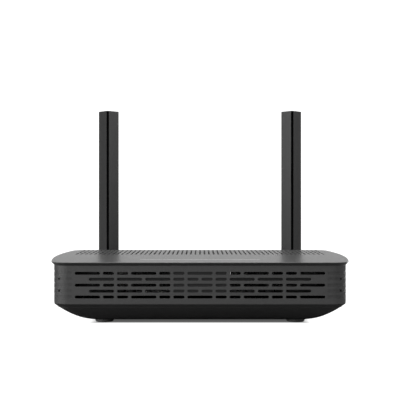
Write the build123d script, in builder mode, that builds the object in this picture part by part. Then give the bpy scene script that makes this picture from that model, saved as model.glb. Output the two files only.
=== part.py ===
from build123d import *
import os
from math import sqrt

# Optical network terminal: a wide flat box with a slotted wall, a dished base
# and two folding antennas on its rear wall. Millimetres, +Z up, front at -Y.
# The origin is under the middle of the whole object, on the table.

os.makedirs("parts", exist_ok=True)

# ---- casing ------------------------------------------------------------
casing_width = 222.4
casing_depth = 145.0
casing_height = 45.6
front_corner_inset = 9.3
rear_corner_inset = 4.6
widest_from_front = 80.0
front_corner_radius = 12.0
rear_corner_radius = 11.0
lip_height = 2.4
lip_face = 0.4
lip_overhang = 1.7
lip_edge_radius = 0.35
wall = 2.2
wall_height = 27.0
wall_edge_radius = 0.7
skirt_height = 3.0
skirt_thickness = 1.5
fit_gap = 0.15

# ---- dished base -------------------------------------------------------
foot_height = 2.4
base_thickness = 2.2
base_front_inset = 27.0
base_rear_inset = 27.0
base_front_side_inset = 34.2
base_middle_side_inset = 31.2
base_rear_side_inset = 35.2
base_corner_radius = 9.0
base_roundness = 1.7
base_step = 0.05
rim_height = 3.0
rim_thickness = 1.6

# ---- slots in the wall -------------------------------------------------
cell_pitch = 9.72
slot_gap = 1.95
slot_height = 2.05
slot_row_pitch = 4.1
first_row_below_top = 7.6
odd_row_pattern = "LSSLSSLSSLSSL"
even_row_pattern = "LLLSSSSLLL"
cells_across = 18
row_count = 5
pocket_depth = 0.9
deep_pocket_depth = 1.6
blind_cells = (7, 10)
groove_depth = 0.5
groove_start = 88.5
corner_hole_radius = 0.85
corner_hole_rows = (1, 3)
side_slot_span = 17.5
side_slot_offsets = (-44.2, -26.2, 35.8)

# ---- vents and indicator strip in the top ------------------------------
vent_pitch = 3.63
vent_width = 1.4
vent_length = 16.5
vent_row_pitch = 19.0
vent_columns = 55
vent_rows = 3
vent_centre_from_front = 112.0
indicator_length = 87.0
indicator_width = 1.8
indicator_from_front = 28.5
indicator_flange = 1.2
indicator_count = 8
indicator_pitch = 11.4
led_length = 3.0
led_width = 2.0
guide_length = 3.4
guide_width = 2.4

# ---- antennas ----------------------------------------------------------
antenna_side = 12.8
antenna_panel_gap = 0.3
antenna_standoff = 11.0
antenna_top = 165.8
antenna_corner_radius = 0.9
antenna_wall = 1.5
antenna_top_chamfer = 0.3
pivot_height = 27.0
fold_end_radius = 6.2
tongue_thickness = 5.0
tongue_radius = 5.4
tongue_clearance = 1.0
hinge_gap = 0.3
foot_rise = 16.0
plug_rise = 6.0
hinge_pin_radius = 1.5
hinge_pin_fit = 0.05
hinge_pin_cover = 3.0
shaft_radius = 5.0
shaft_fit = 0.1
flange_radius = 7.5
flange_thickness = 1.6
flange_edge_radius = 0.5
shaft_inside = 4.4
clip_radius = 6.4
clip_thickness = 1.0
clip_groove_radius = 4.3
strip_width = 2.1
strip_thickness = 0.65
strip_clear = 1.0
element_width = 7.0
element_thickness = 0.8
element_length = 105.0

# ---- board -------------------------------------------------------------
board_thickness = 1.6
board_under = 20.0
board_side_gap = 14.2
board_front_gap = 22.0
board_rear_gap = 5.3
board_corner = 4.0
antenna_notch_width = 18.0
antenna_notch_depth = 8.0

# ---- fasteners and feet ------------------------------------------------
case_screw_x = 50.0
case_screw_from_front = 32.2
case_screw_from_rear = 32.8
case_boss_radius = 4.0
case_screw_radius = 1.5
case_screw_length = 26.0
case_head_radius = 2.8
case_head_height = 2.0
case_head_depth = 4.0
cover_boss_radius = 3.5
board_screw_from_side = 11.0
board_screw_from_front = 52.2
board_screw_from_rear = 30.8
board_boss_radius = 3.0
board_screw_radius = 1.2
board_screw_length = 7.0
board_head_radius = 2.4
board_head_height = 1.5
screw_fit = 0.02
cross_span = 1.3
cross_bar = 0.28
foot_from_side = 41.5
foot_from_edge = 35.5
foot_top_radius = 7.2
foot_bottom_radius = 6.2
foot_edge_radius = 1.1

# ---- underside ---------------------------------------------------------
keyhole_spacing = 110.0
keyhole_head_radius = 4.25
keyhole_slot_radius = 2.1
keyhole_travel = 7.0
base_vent_columns = 13
base_vent_pitch = 5.0
base_vent_length = 26.0
base_vent_width = 2.0
base_vent_offset = -20.2
label_length = 60.0
label_width = 22.0
label_thickness = 0.25
label_offset = 25.8

# ---- rear sockets ------------------------------------------------------
panel_edge = 0.4
panel_thickness = 2.0
panel_recess = 1.0
panel_bottom = 18.3
panel_top = 41.9
panel_flange = 1.4
panel_flange_thickness = 1.0

ethernet_x = -5.2
ethernet_ports = 4
port_wall = 2.1
block_end_wall = 1.0
ethernet_depth = 16.0
ethernet_height = 13.4
port_width = 11.9
port_height = 7.0
port_depth = 13.0
port_floor = 2.4
latch_width = 6.2
latch_height = 1.7
latch_tip_width = 3.4
latch_tip_height = 1.3
contact_count = 8
contact_pitch = 1.02
contact_width = 0.4
contact_rise = 0.9
contact_setback = 3.0

socket_gap = 2.45
phone_width = 13.0
phone_height = 12.0
phone_port_width = 9.8
phone_contact_count = 4

usb_width = 14.2
usb_height = 6.8
usb_depth = 14.0
usb_wall = 0.4
usb_tongue_thickness = 1.9
usb_tongue_width = 11.2
usb_tongue_setback = 4.5
usb_tongue_gap = 0.6

fibre_gap = 5.55
fibre_width = 11.0
fibre_height = 13.0
fibre_depth = 20.0
fibre_port_width = 7.6
fibre_port_height = 9.2
fibre_port_depth = 11.5
ferrule_radius = 1.8
ferrule_bore_radius = 1.25
ferrule_setback = 5.0
module_neck_radius = 3.4
module_neck_length = 13.0
module_setback = 18.0
module_length = 12.0
module_width = 15.0
module_rise = 3.0
module_corner = 1.0

jack_gap = 5.5
jack_width = 9.0
jack_height = 11.0
jack_depth = 14.0
jack_axis_height = 6.2
jack_bore_radius = 3.2
jack_bore_depth = 9.5
jack_pin_radius = 1.05
jack_pin_setback = 4.6
jack_panel_hole_radius = 4.2

switch_gap = 1.4
switch_width = 8.0
switch_height = 8.6
switch_depth = 12.0
switch_setback = 7.2
power_button_size = 6.4
power_button_proud = 2.8
power_button_inside = 4.2
power_button_travel = 2.5
power_button_corner = 0.8
power_button_edge = 0.5
power_stem_size = 3.0
power_stem_socket = 7.0
power_stem_margin = 0.5
button_gap = 0.2
button_height = 27.0

reset_gap = 5.85
reset_hole_radius = 1.1
reset_plunger_radius = 1.4
reset_plunger_proud = 0.9
reset_travel = 0.3
reset_switch_width = 6.0
reset_switch_depth = 3.5
reset_switch_height = 8.0
reset_switch_from_edge = 1.5

# ---- buttons in the right wall -----------------------------------------
side_button_offsets = {"wlan_button": -0.4, "wps_button": 15.6}
side_button_length = 9.0
side_button_height = 4.2
side_button_proud = 0.8
side_button_edge = 0.35
side_button_travel = 0.8
side_flange = 1.0
side_flange_gap = 1.0
side_stem_radius = 1.4
side_stem_margin = 0.3
side_switch_depth = 3.5
side_switch_from_edge = 1.0

# ---- parts on the board ------------------------------------------------
processor_size = 23.0
processor_height = 1.6
processor_offset = 1.8
pad_size = 21.0
pad_height = 0.5
sink_size = 44.0
sink_base = 2.5
sink_height = 12.0
sink_fins = 10
sink_fin_thickness = 1.1
sink_fin_margin = 1.0
sink_corner = 1.0
sink_pin_offset = 19.0
sink_pin_radius = 1.5
sink_pin_head_radius = 2.6
sink_pin_head_height = 1.6
sink_pin_clearance = 1.0
sink_pin_tail = 1.0
chip_height = 1.1
memory_length = 12.0
memory_width = 9.0
memory_x = -34.0
memory_pitch = 16.0
memory_offset = 4.0
flash_length = 12.0
flash_width = 8.0
flash_x = 34.0
flash_offset = 14.0
crystal_length = 5.0
crystal_width = 3.2
crystal_corner = 1.0
crystal_x = 36.0
crystal_offset = 24.0
transformer_length = 24.0
transformer_width = 12.0
transformer_height = 6.0
transformer_gap = 4.0
inductor_size = 11.0
inductor_height = 5.5
inductor_corner = 2.0
inductor_x = 48.0
inductor_pitch = 14.0
inductor_offset = 5.0
capacitor_radius = 4.0
capacitor_height = 10.0
capacitor_edge = 0.6
capacitor_places = ((-12.5, 20.8), (1.5, 42.8), (11.5, 34.8), (15.5, 45.8))
shield_from_side = 29.0
shield_from_front = 24.2
shield_corner = 1.0
shield_length = 26.0
shield_width = 24.0
shield_height = 2.8
shield_wall = 0.3
lead_radius = 0.7
lead_bore_gap = 0.7
lead_bend_radius = 7.0
lead_start_x = 60.0
lead_start_offset = -4.2
lead_rise = 3.0
lead_side_step = 12.0
lead_back_step = 8.0
lead_high_step = 22.0
lead_straight = 22.5
coax_connector_radius = 1.4
coax_connector_height = 1.8

# ---- worked-out places -------------------------------------------------
half_width = casing_width / 2
front_corner_half_width = half_width - front_corner_inset
rear_corner_half_width = half_width - rear_corner_inset
antenna_half_diagonal = antenna_side / sqrt(2)
antenna_reach = antenna_half_diagonal - antenna_corner_radius * (sqrt(2) - 1)
total_depth = casing_depth + antenna_standoff + antenna_reach
front_y = -total_depth / 2
rear_y = front_y + casing_depth
middle_y = (front_y + rear_y) / 2
widest_y = front_y + widest_from_front
fold_y = rear_y + antenna_standoff
lip_z = casing_height - lip_height
wall_z = lip_z - wall_height
wall_front_y = front_y + lip_overhang
wall_rear_y = rear_y - lip_overhang
wall_inset = lip_overhang + wall
skirt_inset = wall_inset + fit_gap
panel_face_y = wall_rear_y - panel_recess
flange_y = wall_rear_y - wall - fit_gap
indicator_y = front_y + indicator_from_front
vent_y = front_y + vent_centre_from_front

# Sockets side by side along the rear, and the antennas just clear of their panel.
port_pitch = port_width + port_wall
ethernet_width = ethernet_ports * port_pitch + 2 * block_end_wall
phone_x = ethernet_x - (ethernet_width + phone_width) / 2 - socket_gap
fibre_x = phone_x - (phone_width + fibre_width) / 2 - fibre_gap
usb_x = ethernet_x + (ethernet_width + usb_width) / 2 + socket_gap
reset_x = usb_x + usb_width / 2 + reset_gap
jack_x = reset_x + jack_gap + jack_width / 2
switch_x = jack_x + (jack_width + switch_width) / 2 + switch_gap
panel_half_width = switch_x + switch_width / 2 + panel_edge
antenna_x = panel_half_width + panel_flange + flange_radius + antenna_panel_gap
port_xs = [
    ethernet_x + (i - (ethernet_ports - 1) / 2) * port_pitch
    for i in range(ethernet_ports)
]

# The board, and what stands on it.
board_top = board_under + board_thickness
board_half_width = half_width - board_side_gap
board_front = front_y + board_front_gap
board_rear = rear_y - board_rear_gap
jack_z = board_top + jack_axis_height
side_switch_x = board_half_width - side_switch_from_edge
reset_y = board_rear - reset_switch_depth - reset_switch_from_edge
processor_y = middle_y + processor_offset
sink_pin_points = [
    (side * sink_pin_offset, processor_y + side * sink_pin_offset)
    for side in (-1, 1)
]

# Screws, feet and keyholes.
case_screw_points = [
    (side * case_screw_x, y)
    for side in (-1, 1)
    for y in (front_y + case_screw_from_front, rear_y - case_screw_from_rear)
]
board_screw_points = [
    (side * (board_half_width - board_screw_from_side), y)
    for side in (-1, 1)
    for y in (front_y + board_screw_from_front, rear_y - board_screw_from_rear)
]
foot_points = [
    (side * (half_width - foot_from_side), y)
    for side in (-1, 1)
    for y in (front_y + foot_from_edge, rear_y - foot_from_edge)
]
keyhole_points = [(side * keyhole_spacing / 2, middle_y) for side in (-1, 1)]
label_y = middle_y + label_offset
side_button_y = {
    name: middle_y + offset
    for name, offset in side_button_offsets.items()
}


def save(piece, name):
    """Writes one sub-part under its node's name."""
    piece.part.label = name
    export_step(piece.part, f"parts/{name}.step")


def outline(front, rear, front_half, middle_half, rear_half, front_radius, rear_radius):
    """A plan with straight front and rear, bowed sides and round corners."""
    with BuildSketch() as plan:
        with BuildLine():
            Line((-front_half, front), (front_half, front))
            ThreePointArc(
                (front_half, front), (middle_half, widest_y), (rear_half, rear)
            )
            Line((rear_half, rear), (-rear_half, rear))
            ThreePointArc(
                (-rear_half, rear), (-middle_half, widest_y), (-front_half, front)
            )
        make_face()
        by_y = plan.vertices().sort_by(Axis.Y)
        fillet(by_y[:2], front_radius)
        by_y = plan.vertices().sort_by(Axis.Y)
        fillet(by_y[-2:], rear_radius)
    return plan.sketch


def casing_plan(inset):
    """The casing's plan, moved in by inset all round."""
    return outline(
        front_y + inset,
        rear_y - inset,
        front_corner_half_width - inset,
        half_width - inset,
        rear_corner_half_width - inset,
        front_corner_radius - inset,
        rear_corner_radius - inset,
    )


def base_plan(share, inset):
    """The dished base's plan: share 0 under the wall, 1 at the flat bottom."""
    top_inset = lip_overhang + base_step

    def between(top, bottom):
        return top + (bottom - top) * share - inset

    return outline(
        front_y + top_inset + base_front_inset * share + inset,
        rear_y - top_inset - base_rear_inset * share - inset,
        between(front_corner_half_width - top_inset, half_width - base_front_side_inset),
        between(half_width - top_inset, half_width - base_middle_side_inset),
        between(rear_corner_half_width - top_inset, half_width - base_rear_side_inset),
        between(front_corner_radius - top_inset, base_corner_radius),
        between(rear_corner_radius - top_inset, base_corner_radius),
    )


def base_height(share):
    """Height of the dished base's outside at a share of its taper."""
    drop = wall_z - foot_height
    return foot_height + drop * (1 - share) ** base_roundness


def diamond(side, radius):
    """A square section standing on its corner, with rounded corners."""
    with BuildSketch() as section:
        RectangleRounded(side, side, radius, rotation=45)
    return section.sketch


def row_slots(row):
    """Gives (centre, length, depth) for each front slot of a row."""
    pattern = odd_row_pattern
    cell = 0
    if row % 2 == 1:
        pattern = even_row_pattern
        cell = 1
    slots = []
    for kind in pattern:
        cells = 2 if kind == "L" else 1
        depth = 2 * wall
        if row == 1:
            depth = deep_pocket_depth
        if row < row_count - 1 and blind_cells[0] <= cell <= blind_cells[1]:
            depth = pocket_depth
        centre = (cell + cells / 2 - cells_across / 2) * cell_pitch
        slots.append((centre, cells * cell_pitch - slot_gap, depth))
        cell += cells
    return slots


def row_z(row):
    """Height of a row of slots, 0 at the top."""
    return casing_height - first_row_below_top - row * slot_row_pitch


# ---- top cover ---------------------------------------------------------
with BuildPart() as top_cover:
    with BuildSketch(Plane.XY.offset(casing_height - lip_face)):
        add(casing_plan(0))
    with BuildSketch(Plane.XY.offset(lip_z)):
        add(casing_plan(lip_overhang))
    loft(ruled=True)
    with BuildSketch(Plane.XY.offset(casing_height)):
        add(casing_plan(0))
    extrude(amount=-lip_face)
    fillet(top_cover.edges().group_by(Axis.Z)[-1], lip_edge_radius)
    # Locating skirt inside the wall, open at the rear over the sockets.
    with BuildSketch(Plane.XY.offset(lip_z)):
        add(casing_plan(skirt_inset))
        add(casing_plan(skirt_inset + skirt_thickness), mode=Mode.SUBTRACT)
        with Locations((0, rear_y)):
            Rectangle(2 * antenna_x + 4 * flange_radius, 4 * wall_inset, mode=Mode.SUBTRACT)
    extrude(amount=-skirt_height)
    # Screw bosses that hold the board down.
    with BuildSketch(Plane.XY.offset(lip_z)):
        with Locations(case_screw_points):
            Circle(cover_boss_radius)
    extrude(amount=board_top - lip_z)
    with BuildSketch(Plane.XY.offset(board_top)):
        with Locations(case_screw_points):
            Circle(case_screw_radius + screw_fit)
    extrude(amount=lip_z - board_top - wall, mode=Mode.SUBTRACT)
    with BuildSketch(Plane.XY.offset(casing_height)):
        with Locations((0, vent_y)):
            with GridLocations(vent_pitch, vent_row_pitch, vent_columns, vent_rows):
                SlotOverall(vent_length, vent_width, rotation=90)
        with Locations((0, indicator_y)):
            SlotOverall(indicator_length, indicator_width)
    extrude(amount=-lip_height, mode=Mode.SUBTRACT)
save(top_cover, "top_cover")

# ---- indicator window with its light guides ----------------------------
with BuildPart() as indicator_window:
    with BuildSketch(Plane.XY.offset(casing_height)):
        with Locations((0, indicator_y)):
            SlotOverall(indicator_length - 2 * screw_fit, indicator_width - 2 * screw_fit)
    extrude(amount=-lip_height)
    with BuildSketch(Plane.XY.offset(lip_z)):
        with Locations((0, indicator_y)):
            Rectangle(indicator_length + 2 * indicator_flange, indicator_width + 2 * indicator_flange)
    extrude(amount=-indicator_flange)
    with BuildSketch(Plane.XY.offset(lip_z - indicator_flange)):
        with Locations((0, indicator_y)):
            with GridLocations(indicator_pitch, 1, indicator_count, 1):
                Rectangle(guide_length, guide_width)
    extrude(amount=board_top + chip_height + 2 * hinge_gap - lip_z + indicator_flange)
save(indicator_window, "indicator_window")

# ---- slotted wall ------------------------------------------------------
with BuildPart() as vented_wall:
    with BuildSketch(Plane.XY.offset(wall_z)):
        add(casing_plan(lip_overhang))
    extrude(amount=wall_height)
    fillet(vented_wall.edges().group_by(Axis.Z)[0], wall_edge_radius)
    with BuildSketch(Plane.XY.offset(wall_z)):
        add(casing_plan(wall_inset))
    extrude(amount=wall_height, mode=Mode.SUBTRACT)
    # Grooves that carry the rows of slots round the corners and sides.
    for row in range(row_count):
        with BuildSketch(Plane.XY.offset(row_z(row))):
            add(casing_plan(0))
            add(casing_plan(lip_overhang + groove_depth), mode=Mode.SUBTRACT)
            Rectangle(2 * groove_start, 2 * casing_depth, mode=Mode.SUBTRACT)
        extrude(amount=slot_height / 2, both=True, mode=Mode.SUBTRACT)
    # Front slots: open, or blind pockets in the middle and in the second row.
    for depth in (2 * wall, deep_pocket_depth, pocket_depth):
        with BuildSketch(Plane.XZ.offset(-wall_front_y)):
            for row in range(row_count):
                for centre, length, slot_depth in row_slots(row):
                    if slot_depth == depth:
                        with Locations((centre, row_z(row))):
                            SlotOverall(length, slot_height)
        extrude(amount=-depth, mode=Mode.SUBTRACT)
    # Side slots, in two groups on each side.
    with BuildSketch(Plane.YZ.offset(-half_width)):
        for row in range(row_count):
            with Locations([(middle_y + offset, row_z(row)) for offset in side_slot_offsets]):
                SlotOverall(side_slot_span, slot_height)
    extrude(amount=casing_width, mode=Mode.SUBTRACT)
    # Small round holes where two of the rows turn the front corners.
    for side in (-1, 1):
        corner_x = side * (front_corner_half_width - front_corner_radius)
        corner_y = front_y + front_corner_radius
        for row in corner_hole_rows:
            corner = Plane((corner_x, corner_y, row_z(row)), z_dir=(side, -1, 0))
            with BuildSketch(corner):
                Circle(corner_hole_radius)
            extrude(amount=2 * front_corner_radius, mode=Mode.SUBTRACT)
    # Window for the connector panel.
    with BuildSketch(Plane.XZ.offset(-rear_y)):
        with Locations((0, (panel_bottom + panel_top) / 2)):
            Rectangle(2 * (panel_half_width + fit_gap), panel_top - panel_bottom + 2 * fit_gap)
        with Locations((-antenna_x, pivot_height), (antenna_x, pivot_height)):
            Circle(shaft_radius + shaft_fit)
    extrude(amount=2 * wall_inset, mode=Mode.SUBTRACT)
    # Holes for the two buttons in the right side.
    with BuildSketch(Plane.YZ.offset(half_width)):
        with Locations([(y, button_height) for y in side_button_y.values()]):
            RectangleRounded(
                side_button_length + 2 * button_gap,
                side_button_height + 2 * button_gap,
                side_button_height / 3,
            )
    extrude(amount=-2 * wall_inset, mode=Mode.SUBTRACT)
save(vented_wall, "vented_wall")

# ---- dished base -------------------------------------------------------
with BuildPart() as outer_base:
    for step in range(5):
        share = step / 4
        with BuildSketch(Plane.XY.offset(base_height(share))):
            add(base_plan(share, 0))
    loft()
with BuildPart() as inner_base:
    for step in range(5):
        share = step / 4
        with BuildSketch(Plane.XY.offset(base_height(share) + base_thickness)):
            add(base_plan(share, base_thickness))
    loft()
with BuildPart() as boss_set:
    with BuildSketch(Plane.XY.offset(foot_height)):
        with Locations(case_screw_points):
            Circle(case_boss_radius)
        with Locations(board_screw_points):
            Circle(board_boss_radius)
    extrude(amount=wall_z - foot_height)
    add(outer_base.part, mode=Mode.INTERSECT)

with BuildPart() as base_tray:
    add(outer_base.part)
    add(inner_base.part, mode=Mode.SUBTRACT)
    # Rim that locates the wall.
    with BuildSketch(Plane.XY.offset(wall_z - base_thickness)):
        add(casing_plan(wall_inset + fit_gap))
        add(casing_plan(wall_inset + fit_gap + rim_thickness), mode=Mode.SUBTRACT)
        with Locations((0, rear_y)):
            Rectangle(2 * panel_half_width + 4 * wall, 4 * wall_inset, mode=Mode.SUBTRACT)
    extrude(amount=base_thickness + rim_height)
    add(boss_set.part)
    with BuildSketch(Plane.XY.offset(wall_z)):
        with Locations(case_screw_points):
            Circle(case_boss_radius)
        with Locations(board_screw_points):
            Circle(board_boss_radius)
    extrude(amount=board_under - wall_z)
    with BuildSketch(Plane.XY.offset(board_under)):
        with Locations(case_screw_points):
            Circle(case_screw_radius + fit_gap)
    extrude(amount=-board_under, mode=Mode.SUBTRACT)
    with BuildSketch(Plane.XY.offset(foot_height)):
        with Locations(case_screw_points):
            Circle(case_head_radius + fit_gap)
    extrude(amount=case_head_depth, mode=Mode.SUBTRACT)
    with BuildSketch(Plane.XY.offset(board_under)):
        with Locations(board_screw_points):
            Circle(board_screw_radius + screw_fit)
    extrude(amount=board_thickness - board_screw_length, mode=Mode.SUBTRACT)
    # Keyholes for two wall screws.
    with BuildSketch(Plane.XY.offset(foot_height)):
        with Locations(keyhole_points):
            Circle(keyhole_head_radius)
        with Locations([(x, y + keyhole_travel / 2) for x, y in keyhole_points]):
            SlotCenterToCenter(keyhole_travel, 2 * keyhole_slot_radius, rotation=90)
        with Locations((0, middle_y + base_vent_offset)):
            with GridLocations(base_vent_pitch, 1, base_vent_columns, 1):
                SlotOverall(base_vent_length, base_vent_width, rotation=90)
    extrude(amount=2 * base_thickness, mode=Mode.SUBTRACT)
    with BuildSketch(Plane.XY.offset(foot_height)):
        with Locations((0, label_y)):
            Rectangle(label_length + fit_gap, label_width + fit_gap)
    extrude(amount=label_thickness, mode=Mode.SUBTRACT)
save(base_tray, "base_tray")

with BuildPart() as rating_label:
    with BuildSketch(Plane.XY.offset(foot_height)):
        with Locations((0, label_y)):
            Rectangle(label_length, label_width)
    extrude(amount=label_thickness)
save(rating_label, "rating_label")

with BuildPart() as rubber_feet:
    for foot_point in foot_points:
        with BuildSketch():
            with Locations(foot_point):
                Circle(foot_bottom_radius)
        with BuildSketch(Plane.XY.offset(foot_height)):
            with Locations(foot_point):
                Circle(foot_top_radius)
        loft()
    fillet(rubber_feet.edges().group_by(Axis.Z)[0], foot_edge_radius)
save(rubber_feet, "rubber_feet")


def screws(points, base_z, head_radius, head_height, radius, length):
    """Cross-head screws pointing up from base_z, heads below it."""
    with BuildPart() as piece:
        with BuildSketch(Plane.XY.offset(base_z - head_height)):
            with Locations(points):
                Circle(head_radius)
        extrude(amount=head_height)
        with BuildSketch(Plane.XY.offset(base_z)):
            with Locations(points):
                Circle(radius)
        extrude(amount=length)
        with BuildSketch(Plane.XY.offset(base_z - head_height)):
            with Locations(points):
                Rectangle(cross_span * head_radius, cross_bar * head_radius)
                Rectangle(cross_bar * head_radius, cross_span * head_radius)
        extrude(amount=head_height / 2, mode=Mode.SUBTRACT)
    return piece


case_screws = screws(
    case_screw_points,
    foot_height + case_head_depth,
    case_head_radius,
    case_head_height,
    case_screw_radius,
    case_screw_length,
)
save(case_screws, "case_screws")

# ---- main board --------------------------------------------------------
with BuildPart() as main_board:
    with BuildSketch(Plane.XY.offset(board_under)):
        with Locations((0, (board_front + board_rear) / 2)):
            RectangleRounded(2 * board_half_width, board_rear - board_front, board_corner)
        with Locations((-antenna_x, board_rear), (antenna_x, board_rear)):
            Rectangle(antenna_notch_width, 2 * antenna_notch_depth, mode=Mode.SUBTRACT)
        with Locations((-board_half_width, board_rear), (board_half_width, board_rear)):
            Rectangle(4 * antenna_notch_depth, 2 * antenna_notch_depth, mode=Mode.SUBTRACT)
        with Locations(case_screw_points):
            Circle(case_screw_radius + fit_gap, mode=Mode.SUBTRACT)
        with Locations(board_screw_points):
            Circle(board_screw_radius + fit_gap, mode=Mode.SUBTRACT)
        with Locations(sink_pin_points):
            Circle(sink_pin_radius + fit_gap, mode=Mode.SUBTRACT)
    extrude(amount=board_thickness)
save(main_board, "main_board")

with BuildPart() as board_screws:
    with BuildSketch(Plane.XY.offset(board_top)):
        with Locations(board_screw_points):
            Circle(board_head_radius)
    extrude(amount=board_head_height)
    with BuildSketch(Plane.XY.offset(board_top)):
        with Locations(board_screw_points):
            Circle(board_screw_radius)
    extrude(amount=-board_screw_length + fit_gap)
    with BuildSketch(Plane.XY.offset(board_top + board_head_height)):
        with Locations(board_screw_points):
            Rectangle(cross_span * board_head_radius, cross_bar * board_head_radius)
            Rectangle(cross_bar * board_head_radius, cross_span * board_head_radius)
    extrude(amount=-board_head_height / 2, mode=Mode.SUBTRACT)
save(board_screws, "board_screws")


def blocks(points, length, width, height, corner=0.0, base=board_top):
    """Equal blocks standing at points, with an optional corner radius."""
    with BuildPart() as piece:
        with BuildSketch(Plane.XY.offset(base)):
            with Locations(points):
                if corner > 0:
                    RectangleRounded(length, width, corner)
                else:
                    Rectangle(length, width)
        extrude(amount=height)
    return piece


processor = blocks([(0, processor_y)], processor_size, processor_size, processor_height)
save(processor, "processor")
pad_base = board_top + processor_height
thermal_pad = blocks([(0, processor_y)], pad_size, pad_size, pad_height, base=pad_base)
save(thermal_pad, "thermal_pad")

sink_z = pad_base + pad_height
with BuildPart() as heat_sink:
    with BuildSketch(Plane.XY.offset(sink_z)):
        with Locations((0, processor_y)):
            RectangleRounded(sink_size, sink_size, sink_corner)
        with Locations(sink_pin_points):
            Circle(sink_pin_radius + fit_gap, mode=Mode.SUBTRACT)
    extrude(amount=sink_base)
    fin_pitch = (sink_size - sink_fin_thickness) / (sink_fins - 1)
    with BuildSketch(Plane.XY.offset(sink_z + sink_base)):
        with Locations((0, processor_y)):
            with GridLocations(fin_pitch, 1, sink_fins, 1):
                Rectangle(sink_fin_thickness, sink_size - 2 * sink_fin_margin)
        with Locations(sink_pin_points):
            Circle(sink_pin_head_radius + sink_pin_clearance, mode=Mode.SUBTRACT)
    extrude(amount=sink_height - sink_base)
save(heat_sink, "heat_sink")

with BuildPart() as heat_sink_pins:
    with BuildSketch(Plane.XY.offset(board_under - sink_pin_tail)):
        with Locations(sink_pin_points):
            Circle(sink_pin_radius)
    extrude(amount=sink_z + sink_base - board_under + sink_pin_tail)
    with BuildSketch(Plane.XY.offset(sink_z + sink_base)):
        with Locations(sink_pin_points):
            Circle(sink_pin_head_radius)
    extrude(amount=sink_pin_head_height)
save(heat_sink_pins, "heat_sink_pins")

# ---- chips, coils and capacitors ---------------------------------------
memory_points = [
    (memory_x, processor_y + memory_offset + side * memory_pitch / 2)
    for side in (-1, 1)
]
save(blocks(memory_points, memory_length, memory_width, chip_height), "memory_chips")
flash_points = [(flash_x, processor_y + flash_offset)]
save(blocks(flash_points, flash_length, flash_width, chip_height), "flash_chip")
crystal_points = [(side * crystal_x, processor_y + crystal_offset) for side in (-1, 1)]
crystals = blocks(crystal_points, crystal_length, crystal_width, chip_height, crystal_corner)
save(crystals, "crystals")
transformer_y = panel_face_y - ethernet_depth - transformer_gap - transformer_width / 2
transformer_points = [(ethernet_x + side * port_pitch, transformer_y) for side in (-1, 1)]
line_transformers = blocks(
    transformer_points, transformer_length, transformer_width, transformer_height
)
save(line_transformers, "line_transformers")
led_points = [
    (indicator_pitch * (i - (indicator_count - 1) / 2), indicator_y)
    for i in range(indicator_count)
]
save(blocks(led_points, led_length, led_width, chip_height), "indicator_leds")
inductor_points = [
    (inductor_x, processor_y + inductor_offset + side * inductor_pitch / 2)
    for side in (-1, 1)
]
power_inductors = blocks(
    inductor_points, inductor_size, inductor_size, inductor_height, inductor_corner
)
save(power_inductors, "power_inductors")

with BuildPart() as shield_cans:
    shield_points = [
        (side * (board_half_width - shield_from_side), board_front + shield_from_front)
        for side in (-1, 1)
    ]
    with BuildSketch(Plane.XY.offset(board_top)):
        with Locations(shield_points):
            RectangleRounded(shield_length, shield_width, shield_corner)
    extrude(amount=shield_height)
    with BuildSketch(Plane.XY.offset(board_top)):
        with Locations(shield_points):
            Rectangle(shield_length - 2 * shield_wall, shield_width - 2 * shield_wall)
    extrude(amount=shield_height - shield_wall, mode=Mode.SUBTRACT)
save(shield_cans, "shield_cans")

with BuildPart() as capacitors:
    with BuildSketch(Plane.XY.offset(board_top)):
        with Locations([(jack_x + across, rear_y - inward) for across, inward in capacitor_places]):
            Circle(capacitor_radius)
    extrude(amount=capacitor_height)
    fillet(capacitors.edges().group_by(Axis.Z)[-1], capacitor_edge)
save(capacitors, "capacitors")

# ---- connector panel ---------------------------------------------------
ethernet_z = board_top + ethernet_height / 2
phone_z = board_top + phone_height / 2
usb_z = board_top + usb_height / 2
fibre_z = board_top + fibre_height / 2
switch_z = board_top + switch_height / 2
panel_centre_z = (panel_bottom + panel_top) / 2
face_cuts = [
    (ethernet_x, ethernet_z, ethernet_width, ethernet_height),
    (phone_x, phone_z, phone_width, phone_height),
    (usb_x, usb_z, usb_width, usb_height),
    (fibre_x, fibre_z, fibre_width, fibre_height),
    (switch_x, switch_z, power_button_size, power_button_size),
]

with BuildPart() as connector_panel:
    with BuildSketch(Plane.XZ.offset(-panel_face_y)):
        with Locations((0, panel_centre_z)):
            Rectangle(2 * panel_half_width, panel_top - panel_bottom)
    extrude(amount=panel_thickness)
    with BuildSketch(Plane.XZ.offset(-flange_y)):
        with Locations((0, panel_centre_z)):
            Rectangle(2 * panel_half_width + 2 * panel_flange, panel_top - panel_bottom)
    extrude(amount=panel_flange_thickness)
    with BuildSketch(Plane.XZ.offset(-panel_face_y)):
        for x, z, width, height in face_cuts:
            with Locations((x, z)):
                Rectangle(width + 2 * button_gap, height + 2 * button_gap)
        with Locations((jack_x, jack_z)):
            Circle(jack_panel_hole_radius)
        with Locations((reset_x, button_height)):
            Circle(reset_hole_radius)
    extrude(amount=3 * panel_thickness, mode=Mode.SUBTRACT)
save(connector_panel, "connector_panel")


def socket(x, z, width, height, depth, mouth, mouth_depth):
    """A socket housing, its face flush with the panel's face and its mouth cut in."""
    with BuildPart() as piece:
        with BuildSketch(Plane.XZ.offset(-panel_face_y)):
            with Locations((x, z)):
                Rectangle(width, height)
        extrude(amount=depth)
        extrude(mouth, amount=mouth_depth, dir=(0, -1, 0), mode=Mode.SUBTRACT)
    return piece


def plain_mouth(x, z, width, height):
    """A rectangular mouth in the panel's face."""
    with BuildSketch(Plane.XZ.offset(-panel_face_y)) as mouth:
        with Locations((x, z)):
            Rectangle(width, height)
    return mouth.sketch


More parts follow.
